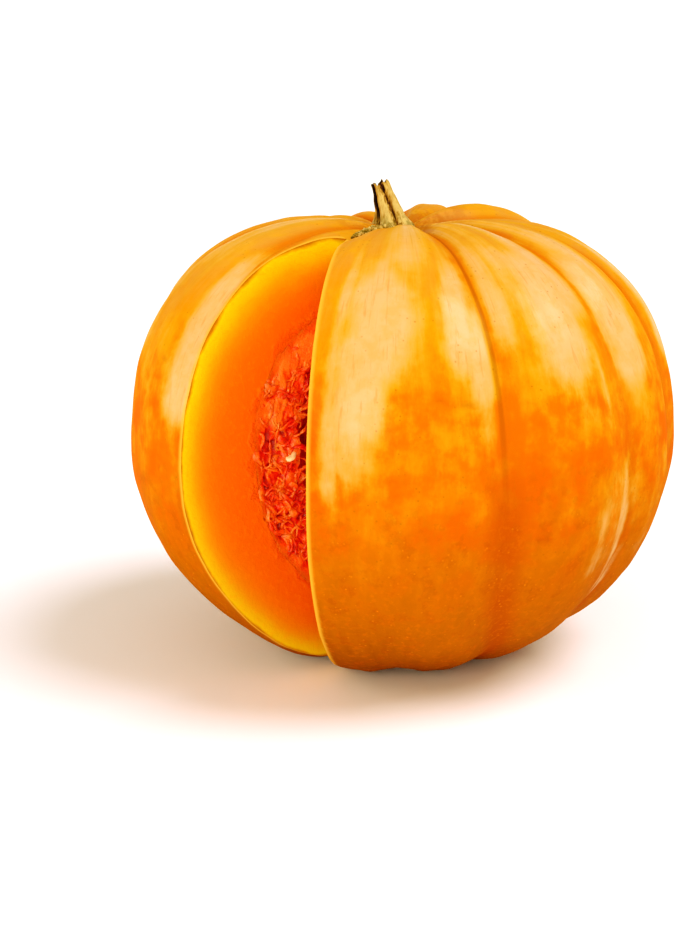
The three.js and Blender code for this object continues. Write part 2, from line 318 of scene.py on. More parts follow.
def hollow_out(body, inner_space, columns, rings, rows):
    """Gives a closed ball an inner wall, and cuts the notch out of the two.

    Returns the vertices and the faces of the two cuts, and the faces of the inner wall.
    """
    shell = body.verts.layers.float["shell"]

    def on_inner_wall(vert, column, latitude):
        vert.co = space_point(inner_space, column * 360.0 / columns, latitude)
        vert[shell] = 1.0

    inner = add_ball(body, columns, rings, on_inner_wall)
    inner_faces = {face for vert in inner for face in vert.link_faces}
    bmesh.ops.reverse_faces(body, faces=list(inner_faces))
    cut_out_notch(body)
    before_cuts = set(body.faces)
    cut_verts = close_cuts(body, inner_space, rows)
    cut_faces = [face for face in body.faces if face not in before_cuts]
    inner_faces = [face for face in body.faces
                   if face in before_cuts and min(vert[shell] for vert in face.verts) > 0.5]
    return cut_verts, cut_faces, inner_faces


wall_body = bmesh.new()
wall_body.verts.layers.float.new("shell")
lobe_low = wall_body.verts.layers.float.new("lobe_low")
bloom = wall_body.verts.layers.float.new("bloom")
mark = wall_body.verts.layers.float.new("mark")
flesh_depth = wall_body.verts.layers.float.new("flesh_depth")
near_pulp = wall_body.verts.layers.float.new("near_pulp")
cut_edge = wall_body.verts.layers.float.new("cut_edge")


def on_skin(vert, column, latitude):
    """Puts a vertex on the skin, and notes its lobe, its bloom with painted highlights, and its marks.
    """
    vert.co, vert[lobe_low] = skin_point(column, latitude)
    azimuth = math.degrees(math.atan2(vert.co.x, -vert.co.y))
    vert[bloom] = bloom_and_highlight_at(azimuth, vert.co.z)
    vert[mark] = mark_at(azimuth, vert.co.z)


add_ball(wall_body, LOBE_COLUMNS * len(FURROWS), SKIN_RINGS, on_skin)
whole_skin = BVHTree.FromBMesh(wall_body)
cut_verts, cut_faces, inner_faces = hollow_out(
    wall_body, CAVITY, CAVITY_COLUMNS, CAVITY_RINGS, FLESH_ROWS)
for vert in cut_verts:
    vert[flesh_depth] = whole_skin.find_nearest(vert.co)[3]
    to_pulp = (vert.co - edge_of_space(CAVITY, vert.co)).length
    vert[near_pulp] = nearness(to_pulp, FRAYED_BAND)
for vert in wall_body.verts:
    to_cut = min(abs(side) for side in cut_sides(vert.co))
    before_corner = max((vert.co - NOTCH_CORNER).dot(heading(cut)) for cut in (LEFT_CUT, RIGHT_CUT))
    if before_corner > 0.0:
        vert[cut_edge] = nearness(to_cut, CUT_EDGE_BAND)
for face in inner_faces + cut_faces:
    face.material_index = 1
for face in inner_faces:
    for vert in face.verts:
        vert[flesh_depth] = DEEPEST_FLESH


# The finish of the fruit: every material below is a Finish, whose sums are Python expressions

LOBE_TOP = 0.21    # height of the highest lobes, as the materials' measure of height
FLESH_THICKNESS = 0.045


def tint(red, green, blue):
    """A colour given as it looks on a screen, from 0 to 255, as the shader's linear colour."""
    def linear(value):
        value /= 255.0
        return value / 12.92 if value <= 0.04045 else ((value + 0.055) / 1.055) ** 2.4
    return (linear(red), linear(green), linear(blue), 1.0)


class Amount:
    """A number inside a shader, which takes part in Python sums."""

    def __init__(self, finish, socket):
        self.finish = finish
        self.socket = socket

    def sum(self, operation, *values):
        return self.finish.node("ShaderNodeMath", {"operation": operation}, dict(enumerate(values)))

    def __add__(self, other):
        return self.sum("ADD", self, other)

    def __sub__(self, other):
        return self.sum("SUBTRACT", self, other)

    def __rsub__(self, other):
        return self.sum("SUBTRACT", other, self)

    def __mul__(self, other):
        return self.sum("MULTIPLY", self, other)

    def __truediv__(self, other):
        return self.sum("DIVIDE", self, other)

    def __rtruediv__(self, other):
        return self.sum("DIVIDE", other, self)

    __radd__ = __add__
    __rmul__ = __mul__

    def rise(self, start, end):
        """0 up to start, 1 from end, and smooth between them."""
        node_settings = {"interpolation_type": "SMOOTHSTEP"}
        inputs = {"Value": self, "From Min": start, "From Max": end, "To Min": 0.0, "To Max": 1.0}
        return self.finish.node("ShaderNodeMapRange", node_settings, inputs)


class Finish:
    """A material and the nodes in it."""

    def __init__(self, name):
        self.material = bpy.data.materials.new(name)
        self.material.use_nodes = True
        self.tree = self.material.node_tree
        self.tree.nodes.clear()
        self.place = self.node("ShaderNodeTexCoord", output="Object")

    def node(self, kind, settings=None, inputs=None, output=0):
        """Adds a node with its settings and its sockets' values or links, and returns one output."""
        made = self.tree.nodes.new(kind)
        for key, value in (settings or {}).items():
            if key == "stops":
                ramp = made.color_ramp
                while len(ramp.elements) < len(value):
                    ramp.elements.new(0.5)
                for element, (position, colour) in zip(ramp.elements, value):
                    element.position = position
                    element.color = colour
            else:
                setattr(made, key, value)
        for key, value in (inputs or {}).items():
            if isinstance(value, Amount):
                self.tree.links.new(value.socket, made.inputs[key])
            else:
                made.inputs[key].default_value = value
        return Amount(self, made.outputs[output]) if made.outputs else None

    def attribute(self, name):
        """A number that the mesh holds for each vertex."""
        return self.node("ShaderNodeAttribute", {"attribute_name": name}, output="Fac")

    def height(self):
        """The height over the floor, in metres."""
        return self.node("ShaderNodeSeparateXYZ", inputs={0: self.place}, output="Z")

    def vector(self, operation, *values, output=0):
        return self.node(
            "ShaderNodeVectorMath", {"operation": operation}, dict(enumerate(values)), output)

    def speckle(self, scale, detail=3.0, rough=0.55, where=None, stretch=None):
        """Smooth noise from 0 to 1 over the piece, or over a vector of the caller's."""
        where = where or self.place
        if stretch:
            where = self.vector("MULTIPLY", where, stretch)
        inputs = {"Vector": where, "Scale": scale, "Detail": detail, "Roughness": rough}
        return self.node("ShaderNodeTexNoise", inputs=inputs)

    def dots(self, scale):
        """The distance to the nearest of many scattered dots, as a share of their spacing."""
        return self.node("ShaderNodeTexVoronoi", inputs={"Vector": self.place, "Scale": scale})

    def blend(self, under, over, share):
        """One colour over another, by a share from 0 to 1."""
        return self.node("ShaderNodeMix", {"data_type": "RGBA"}, {0: share, 6: under, 7: over}, 2)

    def layered(self, colour, *layers):
        """A colour under layers of (colour, share), each over the ones before it."""
        for over, share in layers:
            colour = self.blend(colour, over, share)
        return colour

    def ramp(self, value, *stops):
        """The colour that a ramp of (position, colour) stops has at a value."""
        return self.node("ShaderNodeValToRGB", {"stops": stops}, {0: value})

    def bump(self, height, distance):
        inputs = {"Height": height, "Distance": distance}
        return self.node("ShaderNodeBump", inputs=inputs, output="Normal")

    def surface(self, **inputs):
        """Ends the material in one Principled shader, whose sockets are named with underscores."""
        named = {key.replace("_", " "): value for key, value in inputs.items()}
        shader = self.node("ShaderNodeBsdfPrincipled", inputs=named)
        self.node("ShaderNodeOutputMaterial", inputs={0: shader})
        return self.material


def skin_finish():
    """Thin waxy rind: orange, a pale bloom with painted highlights high on the lobes, painted furrow
    shade, browner and specked below.
    """
    finish = Finish("skin")
    height = finish.height() / LOBE_TOP
    low = finish.attribute("lobe_low")
    flattened = finish.vector("MULTIPLY", finish.place, (1.0, 1.0, 0.0))
    from_axis = finish.vector("LENGTH", flattened, output="Value")
    around = finish.vector("NORMALIZE", flattened)
    lengthwise = finish.vector("MULTIPLY_ADD", finish.place, (0.0, 0.0, 2.4), around)
    broad = finish.speckle(14.0, 2.0)
    cloudy = finish.speckle(48.0, 5.0, 0.6)
    dapples = finish.speckle(130.0, 3.0, 0.6)
    fine = finish.speckle(330.0, 4.0, 0.7)
    streaks = finish.speckle(20.0, 5.0, 0.62, where=lengthwise)
    hairlines = finish.speckle(75.0, 3.0, 0.6, where=lengthwise, stretch=(1.0, 1.0, 0.5))

    mottled = height + (broad - 0.5) * 0.24 + (streaks - 0.5) * 0.3 + (dapples - 0.5) * 0.2
    colour = finish.ramp(
        mottled, (0.0, tint(150, 82, 0)), (0.2, tint(175, 95, 0)), (0.36, tint(191, 101, 0)),
        (0.5, tint(206, 102, 0)), (0.65, tint(211, 108, 0)), (0.8, tint(209, 131, 14)),
        (1.0, tint(206, 141, 60)))
    amber = cloudy.rise(0.48, 0.62) * height.rise(0.3, 0.75)
    ember = cloudy.rise(0.5, 0.38) * height.rise(0.85, 0.6) * height.rise(0.2, 0.5)
    umber = (dapples * 0.6 + fine * 0.4).rise(0.5, 0.6) * height.rise(0.7, 0.35)
    upper_furrow = low.rise(0.3, 0.85) * height.rise(0.5, 0.7)
    # Painted shade: low down the furrows are darkened to a redder brown.
    lower_furrow_shade = low.rise(0.5, 1.0) * height.rise(0.65, 0.4)
    glints = fine.rise(0.48, 0.68) * height.rise(0.75, 0.25)
    freckles = (1.0 - finish.dots(330.0).rise(0.06, 0.24)) * dapples.rise(0.45, 0.62)
    colour = finish.layered(
        colour, (tint(214, 142, 4), amber * 0.5), (tint(208, 84, 0), ember * 0.45),
        (tint(158, 74, 0), umber * 0.42), (tint(204, 104, 0), upper_furrow * 0.8),
        (tint(174, 74, 0), lower_furrow_shade * 0.6), (tint(224, 118, 10), glints * 0.3),
        (tint(236, 142, 40), freckles * height.rise(0.65, 0.3) * 0.46))

    cloudiness = cloudy.rise(0.3, 0.7) - 0.5
    # The pale colour is partly real wax bloom, partly painted highlights where the softboxes reflect.
    bloom = finish.attribute("bloom") + (streaks.rise(0.3, 0.7) - 0.5) * 0.24 + cloudiness * 0.3
    bloom = bloom + (dapples - 0.5) * 0.4
    thin_bloom_and_highlight = bloom.rise(-0.05, 0.55) * height.rise(0.2, 0.6)
    waxy_and_highlight = bloom.rise(0.2, 1.0) * low.rise(0.99, 0.9)
    pale = finish.blend(tint(214, 166, 120), tint(214, 153, 82), dapples.rise(0.4, 0.66) * 0.5)
    scratches = hairlines.rise(0.56, 0.7) * (0.3 + waxy_and_highlight * 0.3) * height.rise(0.3, 0.6)
    pores = (1.0 - finish.dots(260.0).rise(0.06, 0.16)) * cloudy.rise(0.46, 0.56)
    colour = finish.layered(
        colour, (tint(212, 154, 34), thin_bloom_and_highlight * 0.75), (pale, waxy_and_highlight),
        (tint(186, 112, 20), scratches * 0.5), (tint(150, 84, 10), pores * 0.4))

    # Painted shade: a thin dark line along the bottom of each furrow, high on the fruit.
    furrow_shade_line = low.rise(0.955, 1.0) * height.rise(0.35, 0.8)
    cut_edge = finish.attribute("cut_edge").rise(0.3, 0.9)
    mark = finish.attribute("mark")
    at_stem = from_axis.rise(0.05, 0.014) * height.rise(0.6, 0.8) * dapples.rise(0.38, 0.6)
    at_scar = from_axis.rise(0.014, 0.0095) * height.rise(0.3, 0.1)
    colour = finish.layered(
        colour, (tint(140, 62, 0), furrow_shade_line * 0.45), (tint(228, 170, 70), cut_edge * 0.8),
        (tint(170, 76, 0), mark * 0.5), (tint(180, 96, 12), at_stem * 0.7),
        (tint(112, 80, 44), at_scar))

    rough = 0.34 + cloudy * 0.14 + fine * 0.06
    relief = fine * 0.5 + streaks * 0.9 + hairlines * 0.25 - freckles * 0.3 - mark * 1.2
    return finish.surface(
        Base_Color=colour, Roughness=rough, Normal=finish.bump(relief, 0.0004),
        Specular_IOR_Level=0.0, Coat_Weight=0.06 + waxy_and_highlight * 0.22, Coat_Roughness=0.2,
        Subsurface_Weight=0.05, Subsurface_Radius=(0.008, 0.003, 0.001), Subsurface_Scale=0.4)


def flesh_finish():
    """Freshly cut flesh: bright yellow under the rind, and deep orange towards the pulp."""
    finish = Finish("flesh")
    depth = finish.attribute("flesh_depth")
    cloudy = finish.speckle(60.0, 4.0)
    fine = finish.speckle(420.0, 3.0, 0.7)
    height = finish.height() / LOBE_TOP
    wavy = depth / (0.9 + height.rise(0.55, 0.95) * 0.5) + (cloudy - 0.5) * 0.004
    colour = finish.ramp(
        wavy / FLESH_THICKNESS, (0.0, tint(176, 108, 0)), (0.012, tint(206, 146, 0)),
        (0.03, tint(228, 190, 10)), (0.1, tint(226, 172, 2)), (0.17, tint(226, 150, 2)),
        (0.25, tint(226, 131, 2)), (0.34, tint(228, 119, 2)), (0.46, tint(230, 111, 2)),
        (0.75, tint(232, 108, 2)))
    fraying = (finish.attribute("near_pulp") + (cloudy.rise(0.3, 0.7) - 0.5) * 0.8).rise(0.5, 0.9)
    colour = finish.layered(
        colour, (tint(240, 140, 4), fine.rise(0.5, 0.7) * 0.25),
        (tint(228, 92, 0), fraying * (0.3 + fine * 0.5)))
    rough = 0.36 + fine * 0.2
    relief = cloudy + fine * (0.8 + fraying * 2.0)
    return finish.surface(
        Base_Color=colour, Roughness=rough, Normal=finish.bump(relief, 0.0004),
        Specular_IOR_Level=0.15, Coat_Weight=0.06, Coat_Roughness=0.2, Subsurface_Weight=0.1,
        Subsurface_Radius=(0.01, 0.003, 0.0005), Subsurface_Scale=0.4)


fruit_wall = finished_piece("fruit_wall_grown", wall_body, skin_finish(), flesh_finish())
fruit_wall.data.set_sharp_from_angle(angle=math.radians(50))
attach(fruit_wall, "root")
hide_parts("fruit_wall")


# ------------------------ the pulp
# A wet, stringy lining between the flesh and the open hollow. Its strands grew round the seeds,
# and the knife went through them with the flesh, so that pits and loose ends show at the cuts.
# Its faint red glow stands for the light that comes through the flesh.

PULP_OUTSIDE = dict(level=CAVITY["level"], radius=0.0892, up=0.0677, down=0.0837, squareness=2.4)
FRINGE = dict(level=CAVITY["level"], radius=0.0912, up=0.0697, down=0.0857, squareness=2.4)
HOLLOW = dict(level=CAVITY["level"], radius=0.068, up=0.05, down=0.058, squareness=2.4)
PULP_COLUMNS = 120
PULP_RINGS = 60
HOLLOW_COLUMNS = 240
HOLLOW_RINGS = 130
PULP_ROWS = 12
FOLDS_TO_A_METRE = 150.0
FINE_FOLDS_TO_A_METRE = 380.0
DENSE_TOP = (0.128, 0.02)    # level above which the pulp has fewer pits, and the height it takes
PIT_DEPTH = 0.0046
FOLD_HEIGHT = 0.0006    # how far the highest folds stand out
LIP = 0.0035    # width of the band at a cut where the pulp runs out over the flesh
LIP_REACH = 0.0007    # how far it runs out at the least
LIP_HEIGHT = 0.00015
SEED_ROOM = 0.004    # distance from a seed within which the pits close
SEED_NODES = [f"seed_{number:02d}" for number in range(1, 23)]


def strand_height(point):
    """How high the pulp stands at a point: 1 on a fold, 0 in the pit between folds."""
    wavy = point + noise.noise_vector(point * 60.0) * 0.008
    upright = Vector((wavy.x, wavy.y, wavy.z * 0.6))
    folds = 1.0 - abs(noise.noise(upright * FOLDS_TO_A_METRE)) * 2.8
    fine = 1.0 - abs(noise.noise(wavy * FINE_FOLDS_TO_A_METRE)) * 2.2
    zone = 0.42 + 1.3 * noise.noise(point * 62.0) + 0.5 * noise.noise(point * 130.0)
    zone += 0.35 * climb(point.z, *DENSE_TOP)
    return max(0.0, min(1.0, 0.4 * folds + 0.26 * fine + 0.55 * zone))


def seed_tree():
    """The CAD seeds' vertices, for how close a point of the pulp is to a seed."""
    corners = [vert.co for name in SEED_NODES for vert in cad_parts[name].data.vertices]
    tree = KDTree(len(corners))
    for index, corner in enumerate(corners):
        tree.insert(corner, index)
    tree.balance()
    return tree


near_seed = seed_tree()
noise.seed_set(11)    # noise_vector starts from this seed
pulp_body = bmesh.new()
pulp_body.verts.layers.float.new("shell")
pulp_height = pulp_body.verts.layers.float.new("pulp_height")
at_wall = pulp_body.verts.layers.float.new("at_wall")


def on_pulp_outside(vert, column, latitude):
    vert.co = space_point(PULP_OUTSIDE, column * 360.0 / PULP_COLUMNS, latitude)


add_ball(pulp_body, PULP_COLUMNS, PULP_RINGS, on_pulp_outside)
_, cut_faces, inner_faces = hollow_out(
    pulp_body, HOLLOW, HOLLOW_COLUMNS, HOLLOW_RINGS, PULP_ROWS)
for face in cut_faces:
    face.material_index = 1
for face in inner_faces:
    face.material_index = 2
cut_lines = list({edge for face in cut_faces for edge in face.edges})
bmesh.ops.subdivide_edges(pulp_body, edges=cut_lines, cuts=2, use_grid_fill=True)
pulp_body.normal_update()
moves = {}
for vert in pulp_body.verts:
    kinds = {face.material_index for face in vert.link_faces}
    if kinds == {0}:
        continue
    rim = 0.0
    move = Vector((0.0, 0.0, 0.0))
    if 1 in kinds:
        _, ray = ray_from_corner(vert.co)
        from_wall = (vert.co - edge_of_space(PULP_OUTSIDE, vert.co)).length
        rim = nearness(from_wall, LIP)
        left, right = cut_sides(vert.co)
        facing = heading(LEFT_CUT + 90.0) if abs(left) < abs(right) else heading(RIGHT_CUT - 90.0)
        spread = 0.0008 + 0.0032 * noise.noise(vert.co * 130.0) + 0.0014 * noise.noise(vert.co * 420.0)
        move = ray.normalized() * rim * max(spread, LIP_REACH) + facing * LIP_HEIGHT * rim
    height = strand_height(vert.co)
    pit = (1.0 - height) * (1.0 - rim) ** 0.6
    pit *= min(1.0, near_seed.find(vert.co)[2] / SEED_ROOM)
    moves[vert] = move + vert.normal * (1.0 - rim) * (FOLD_HEIGHT - PIT_DEPTH * pit ** 1.3)
    vert[pulp_height] = 1.0 - pit
    vert[at_wall] = rim
for vert, move in moves.items():
    vert.co += move
for face in pulp_body.faces:
    face.material_index = 0


def pulp_finish():
    """Wet pulp: orange folds like the flesh, redder membranes, and dark red pits that are partly
    painted shade.
    """
    finish = Finish("pulp")
    height = finish.attribute("pulp_height")
    cloudy = finish.speckle(90.0, 3.0)
    fine = finish.speckle(600.0, 3.0, 0.7)
    # Darker and redder down in the pits: partly the pulp's own deeper red, partly painted shade.
    colour = finish.ramp(
        height + (fine - 0.5) * 0.2, (0.0, tint(166, 10, 0)), (0.25, tint(228, 42, 4)),
        (0.45, tint(250, 84, 8)), (0.65, tint(255, 112, 16)), (1.0, tint(255, 142, 52)))
    at_wall = finish.attribute("at_wall").rise(0.15, 0.7)
    colour = finish.layered(
        colour, (tint(236, 76, 6), cloudy.rise(0.45, 0.7) * 0.4), (tint(232, 104, 2), at_wall * 0.9))
    return finish.surface(
        Base_Color=colour, Roughness=0.28 + fine * 0.2, Normal=finish.bump(fine, 0.0007),
        Coat_Weight=0.35, Coat_Roughness=0.15, Subsurface_Weight=0.5,
        Subsurface_Radius=(0.008, 0.003, 0.0008), Subsurface_Scale=0.7,
        Emission_Color=(1.0, 0.06, 0.01, 1.0), Emission_Strength=0.06)


wet_pulp = pulp_finish()
pulp = finished_piece("pulp_lining", pulp_body, wet_pulp)
pulp.data.set_sharp_from_angle(angle=math.radians(55))
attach(pulp, "root")
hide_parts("pulp")

SHORTEST_STRAND = 5    # points
CUT_STRANDS = 150    # at each cut
HOLLOW_STRANDS = 360
SHARE_BESIDE_LEFT_CUT = 0.4
BESIDE_LEFT_CUT = (-105.0, LEFT_CUT)
FEWER_ABOVE = (0.125, 0.03)    # level above which the shreds grow fewer, and the height it takes
STRAND_STEP = 0.0009
STRAND_SINK = 0.0014    # how deep the ends of a shred dive into the pulp


def strand_piece(name, strands):
    """Turns strands, each a list of points with a half-width and a twist, into one piece."""
    line = bpy.data.curves.new(name, "CURVE")
    line.dimensions = "3D"
    line.extrude = 0.45
    line.bevel_depth = 0.5
    line.bevel_resolution = 1
    line.resolution_u = 1
    line.use_fill_caps = True
    for strand in strands:
        if len(strand) < SHORTEST_STRAND:
            continue
        spline = line.splines.new("POLY")
        spline.points.add(len(strand) - 1)
        for point, (place, half_width, twist) in zip(spline.points, strand):
            point.co = (*place, 1.0)
            point.radius = half_width
            point.tilt = twist
    drawn = bpy.data.objects.new(name, line)
    mesh = bpy.data.meshes.new_from_object(drawn)
    bpy.data.objects.remove(drawn)
    piece = bpy.data.objects.new(name, mesh)
    bpy.context.collection.objects.link(piece)
    attribute = mesh.attributes.new("pulp_height", "FLOAT", "POINT")
    heights = [0.66 + 0.8 * noise.noise(vert.co * 130.0) for vert in mesh.vertices]
    attribute.data.foreach_set("value", heights)
    mesh.shade_smooth()
    mesh.materials.clear()
    mesh.materials.append(wet_pulp)
    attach(piece, "root")


def own_noise(draw):
    """An offset that gives one strand its own wandering."""
    return Vector((draw.uniform(-9.0, 9.0), draw.uniform(-9.0, 9.0), draw.uniform(-9.0, 9.0)))


def cut_strand(draw, azimuth, outwards):
    """A loose shred at a cut: it comes out of the pulp, curls over the cut, and dives back."""
    along = heading(azimuth)
    while True:
        reach = draw.uniform(0.02, 0.105)
        level = draw.uniform(-0.08, 0.068)
        start = NOTCH_CORNER + along * reach + Vector((0.0, 0.0, CAVITY["level"] + level))
        in_pulp = inside_space(PULP_OUTSIDE, start) and not inside_space(HOLLOW, start)
        if in_pulp and draw.random() > climb(start.z, *FEWER_ABOVE):
            break
    steps = draw.randint(7, 20)
    half_width = draw.uniform(0.0004, 0.0016)
    lift = draw.uniform(0.0002, 0.0018)
    bearing = draw.gauss(math.pi / 2.0, 0.7)
    offset = own_noise(draw)
    strand = []
    place = start
    for step in range(steps):
        share = step / (steps - 1)
        turn = bearing + 4.2 * noise.noise(place * 150.0 + offset)
        onwards = along * math.cos(turn) + Vector((0.0, 0.0, math.sin(turn)))
        place = place + onwards * STRAND_STEP
        height = lift * math.sin(math.pi * share) + 0.0007 * noise.noise(place * 260.0 + offset)
        height -= STRAND_SINK
        width = half_width * (0.3 + 0.7 * math.sin(math.pi * share) ** 0.5)
        width *= 1.0 + 0.9 * noise.noise(place * 420.0 + offset)
        twist = 3.0 * noise.noise(place * 110.0 + offset)
        strand.append((place + outwards * height, width, twist))
    return [point for point in strand if inside_space(FRINGE, point[0])]


def hollow_strand(draw):
    """A loose strand in the hollow: it runs up or down the lining and lifts off it in places."""
    sector = (0.0, 360.0) if draw.random() > SHARE_BESIDE_LEFT_CUT else BESIDE_LEFT_CUT
    azimuth = draw.uniform(*sector)
    latitude = draw.uniform(-1.3, 1.2)
    steps = draw.randint(12, 30)
    half_width = draw.uniform(0.0004, 0.0014)
    lift = draw.uniform(0.0004, 0.0035)
    offset = own_noise(draw)
    drift = draw.gauss(0.0, 0.9)
    strand = []
    for step in range(steps):
        share = step / (steps - 1)
        place = space_point(HOLLOW, azimuth, latitude)
        wander = noise.noise_vector(place * 110.0 + offset)
        azimuth += drift + 3.2 * wander.x
        latitude += 0.02 * (1.0 + 1.2 * wander.y)
        inwards = (Vector((0.0, 0.0, CAVITY["level"])) - place).normalized()
        height = lift * math.sin(math.pi * share) + 0.0014 * wander.z - 0.001
        width = half_width * (0.25 + 0.75 * math.sin(math.pi * share) ** 0.5)
        width *= 1.0 + 0.8 * wander.z
        place += inwards * height
        if min(cut_sides(place)) > -0.0006 or latitude > 1.5:
            break
        strand.append((place, width, 4.0 * wander.y))
    return strand


seeded = random.Random(11)
for name, cut, outwards in (
        ("pulp_strands_left", LEFT_CUT, heading(LEFT_CUT + 90.0)),
        ("pulp_strands_right", RIGHT_CUT, heading(RIGHT_CUT - 90.0))):
    strand_piece(name, [cut_strand(seeded, cut, outwards) for _ in range(CUT_STRANDS)])
strand_piece("pulp_strands_hollow", [hollow_strand(seeded) for _ in range(HOLLOW_STRANDS)])


# ------------------------ the stem
# What is left of the vine: a dry, ridged, woody stub on a flared foot. It broke off the vine and
# left a ragged, hollow end. One long withered toe lies on the skin as far as the cut.

STEM_FLOOR = WIDEST_LEVEL + 0.1026
STEM_FOOT_X = -0.0039
STEM_TOP_X = -0.0106
STEM_PROFILE = [
    (-0.006, 0.0066), (-0.003, 0.0084), (-0.0008, 0.0089), (0.001, 0.0081), (0.003, 0.0070),
    (0.0055, 0.0061), (0.009, 0.0054), (0.013, 0.0047), (0.0175, 0.0040), (0.0212, 0.0036),
]
STEM_HEIGHT = 0.022    # over the skin, as the material's measure
STEM_SIDES = 120
STEM_RINGS = 60
STEM_RIDGES = 5
RIDGE_HEIGHT = 0.16    # share of the stem's radius
FOOT_RIDGE_HEIGHT = 0.08    # what the foot adds to it
FOOT_HEIGHT = 0.0035
STEM_FIBRES = 24
FIBRE_HEIGHT = 0.00012
TORN_FROM = 0.014
# The torn end, from the rim into the hollow: each ring's inset as a share, and its drop
STEM_END = ((0.14, 0.0), (0.26, 0.0008), (0.36, 0.003), (0.5, 0.0055), (0.9, 0.006))
HOLLOW_SHADE = -1.3    # as deep as a groove, for the colour of the hollow end
TOE_AZIMUTH = -33.0
TOE_MIDDLE = 0.025    # distance from the axis
TOE_LEVEL = WIDEST_LEVEL + 0.1012
TOE_HALF_LENGTH = 0.0172
TOE_HALF_WIDTH = 0.0032
TOE_HALF_HEIGHT = 0.0031


def stem_radius(height):
    """The stem's radius at a height, between the two nearest rows of its profile."""
    for (low, low_radius), (high, high_radius) in zip(STEM_PROFILE, STEM_PROFILE[1:]):
        if height <= high:
            share = (height - low) / (high - low)
            return low_radius + (high_radius - low_radius) * share
    return STEM_PROFILE[-1][1]


def stem_ridge(angle, height):
    """How far a point of the stem stands out: -1 in a groove, 1 on a ridge."""
    turned = STEM_RIDGES * angle + 0.35 * math.sin(2.0 * angle) + 40.0 * height + 3.19
    return 2.0 * abs(math.cos(turned / 2.0)) ** 0.8 - 1.0


stem_body = bmesh.new()
ridge_layer = stem_body.verts.layers.float.new("stem_ridge")
ring_verts = bmesh.ops.create_circle(stem_body, segments=STEM_SIDES, radius=1.0)["verts"]
directions = [vert.co.copy() for vert in ring_verts]
ring_edges = list(stem_body.edges)
bottom, top = STEM_PROFILE[0][0], STEM_PROFILE[-1][0]


def place_stem_ring(verts, height, inset=0.0):
    """Puts a ring of the stem's vertices in place, drawn in by an inset."""
    lean = max(0.0, height / top)
    middle = Vector((STEM_FOOT_X + (STEM_TOP_X - STEM_FOOT_X) * lean, 0.0, 0.0))
    foot = math.exp(-((height / FOOT_HEIGHT) ** 2))
    for vert, direction in zip(verts, directions):
        angle = math.atan2(direction.y, direction.x)
        ridge = stem_ridge(angle, max(0.0, height))
        rough = noise.noise(Vector((direction.x * 3.0, direction.y * 3.0, height * 220.0)))
        rough += 0.8 * noise.noise(Vector((direction.x * 9.0, direction.y * 9.0, height * 90.0)))
        fibre = math.cos(STEM_FIBRES * angle + 5.0 * noise.noise(Vector((angle, 0.0, height * 120.0))))
        ridges = (RIDGE_HEIGHT + FOOT_RIDGE_HEIGHT * foot) * ridge
        spread = stem_radius(height) * (0.98 + ridges + 0.06 * rough)
        spread = max(0.0004, (spread + FIBRE_HEIGHT * fibre) * (1.0 - inset))
        ragged = 0.0
        if height > TORN_FROM:
            rise = (height - TORN_FROM) / (top - TORN_FROM)
            tear = 0.0017 * noise.noise(direction * 2.6 + Vector((0.0, 0.0, 5.0)))
            tear += 0.0011 * noise.noise(direction * 7.0 + Vector((3.0, 0.0, 0.0)))
            ragged = rise * (tear - 0.0017 + 0.0011 * direction.x)
        vert.co = middle + direction * spread
        vert.co.z = STEM_FLOOR + height + ragged
        # Painted shade: the stem's left side, away from the sun, is darker near its foot.
        left_foot_shade = max(0.0, -direction.x - 0.35) * climb(height, 0.0, 0.009)
        vert[ridge_layer] = ridge + 0.15 * fibre - 2.4 * left_foot_shade


place_stem_ring(ring_verts, bottom)
bmesh.ops.contextual_create(stem_body, geom=ring_edges)
for ring in range(1, STEM_RINGS + 1):
    ring_verts, ring_edges = extruded_rim(stem_body, ring_edges)
    place_stem_ring(ring_verts, bottom + (top - bottom) * ring / STEM_RINGS)
for inset, drop in STEM_END:
    ring_verts, ring_edges = extruded_rim(stem_body, ring_edges)
    place_stem_ring(ring_verts, top, inset)
    for vert in ring_verts:
        vert.co.z -= drop
        vert[ridge_layer] = HOLLOW_SHADE
bmesh.ops.contextual_create(stem_body, geom=ring_edges)

toe = bmesh.ops.create_uvsphere(stem_body, u_segments=64, v_segments=44, radius=1.0)["verts"]
toe_along = heading(TOE_AZIMUTH)
toe_across = Vector((-toe_along.y, toe_along.x, 0.0))
for vert in toe:
    x, y, z = vert.co
    wrinkle = noise.noise(Vector((x * 2.5, z * 2.5, y * 7.0)))
    wrinkle += 0.6 * noise.noise(Vector((x * 5.0, z * 5.0, y * 18.0)))
    width = TOE_HALF_WIDTH * (1.0 + 0.35 * wrinkle) * (1.0 - 0.3 * y)
    height = TOE_HALF_HEIGHT * (1.0 + 0.4 * wrinkle) * (1.0 - 0.25 * y)
    place = toe_along * (TOE_MIDDLE + TOE_HALF_LENGTH * y) + toe_across * (x * width)
    place.z = TOE_LEVEL + z * height
    vert.co = place
    vert[ridge_layer] = 1.6 * wrinkle - 0.1


